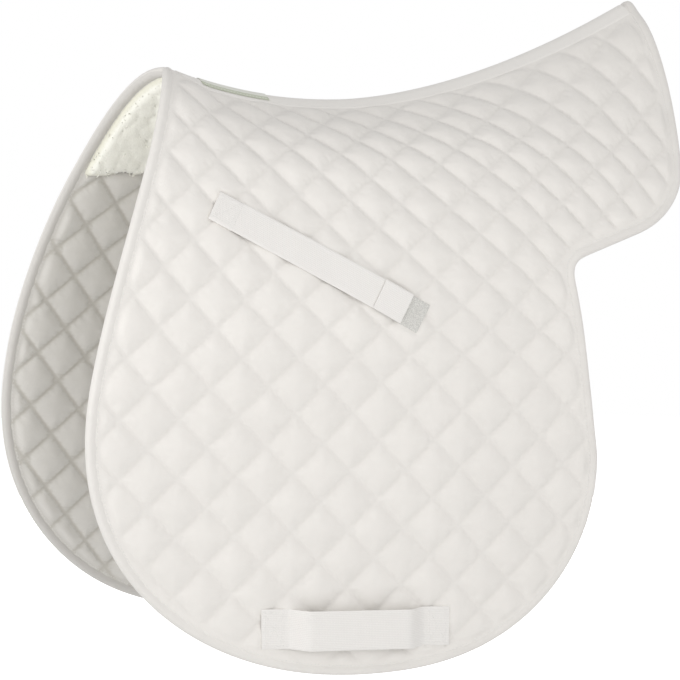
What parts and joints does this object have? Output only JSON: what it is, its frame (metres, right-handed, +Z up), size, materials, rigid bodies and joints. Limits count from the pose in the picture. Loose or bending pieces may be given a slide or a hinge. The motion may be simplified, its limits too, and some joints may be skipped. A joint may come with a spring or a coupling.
{
  "type": "numnah",
  "caption": "Saddle-shaped quilted saddle pad with a fleece-lined spine, bound edges, saddle straps and girth loops, worn over a horse's back under a saddle.",
  "frame": {"origin": "under the fleece at the lowest point of the spine, on the middle plane", "axes": "+X from the pommel end to the cantle end, +Z up, the near side at -Y"},
  "size_m": [0.6593, 0.3678, 0.6364],
  "materials": {
    "quilted_cotton": "matt twill cotton, quilted in diamonds",
    "binding_cotton": "matt woven cotton tape",
    "lining_cotton": "matt cotton lining, quilted in diamonds",
    "fleece_wool": "curly cream fleece",
    "webbing": "ribbed flat webbing",
    "wadding": "soft fibre filling, not seen",
    "hook_tape": "grey hook and loop tape",
    "thread": "sewing thread",
    "label_weave": "woven label, blank"
  },
  "bodies": {
    "spine": {"spine_tape": "binding_cotton", "spine_label": "label_weave", "pommel_binding": "binding_cotton", "cantle_binding": "binding_cotton", "near_top_cover": "quilted_cotton", "near_top_wadding": "wadding", "near_fleece": "fleece_wool", "far_top_cover": "quilted_cotton", "far_top_wadding": "wadding", "far_fleece": "fleece_wool"},
    "near_flap": {"near_flap_cover": "quilted_cotton", "near_flap_wadding": "wadding", "near_flap_lining": "lining_cotton", "near_flap_binding": "binding_cotton", "near_strap_anchor": "webbing", "near_strap_patch": "hook_tape", "near_strap_stitching": "thread", "near_girth_loop": "webbing", "near_girth_loop_front_stitching": "thread", "near_girth_loop_rear_stitching": "thread"},
    "near_strap": {"near_strap": "webbing"},
    "near_strap_tab": {"near_strap_tab": "webbing"},
    "far_flap": {"far_flap_cover": "quilted_cotton", "far_flap_wadding": "wadding", "far_flap_lining": "lining_cotton", "far_flap_binding": "binding_cotton", "far_strap_anchor": "webbing", "far_strap_patch": "hook_tape", "far_strap_stitching": "thread", "far_girth_loop": "webbing", "far_girth_loop_front_stitching": "thread", "far_girth_loop_rear_stitching": "thread"},
    "far_strap": {"far_strap": "webbing"},
    "far_strap_tab": {"far_strap_tab": "webbing"}
  },
  "joints": [
    {"name": "near_flap_hinge", "type": "hinge", "parent": "spine", "child": "near_flap", "pos_m": [0, -0.11, -0.04995], "axis": [-0.9962, 0.0872, 0], "range_deg": [-12, 45], "stiffness_Nm_per_rad": 0.4, "springref_deg": 14.32},
    {"name": "near_strap_hinge", "type": "hinge", "parent": "near_flap", "child": "near_strap", "pos_m": [-0.16202, -0.11981, -0.0864], "axis": [-0.531, -0.2294, -0.8158], "range_deg": [0, 120]},
    {"name": "near_strap_tab_hinge", "type": "hinge", "parent": "near_strap", "child": "near_strap_tab", "pos_m": [-0.0113, -0.16446, -0.17427], "axis": [0.5114, 0.0567, 0.8575], "range_deg": [0, 150]},
    {"name": "far_flap_hinge", "type": "hinge", "parent": "spine", "child": "far_flap", "pos_m": [0, 0.11, -0.04995], "axis": [0.9962, 0.0872, 0], "range_deg": [-12, 45], "stiffness_Nm_per_rad": 0.4, "springref_deg": 14.32},
    {"name": "far_strap_hinge", "type": "hinge", "parent": "far_flap", "child": "far_strap", "pos_m": [-0.16202, 0.11981, -0.0864], "axis": [0.531, -0.2294, 0.8158], "range_deg": [0, 120]},
    {"name": "far_strap_tab_hinge", "type": "hinge", "parent": "far_strap", "child": "far_strap_tab", "pos_m": [-0.0113, 0.16446, -0.17427], "axis": [-0.5114, 0.0567, -0.8575], "range_deg": [0, 150]}
  ]
}
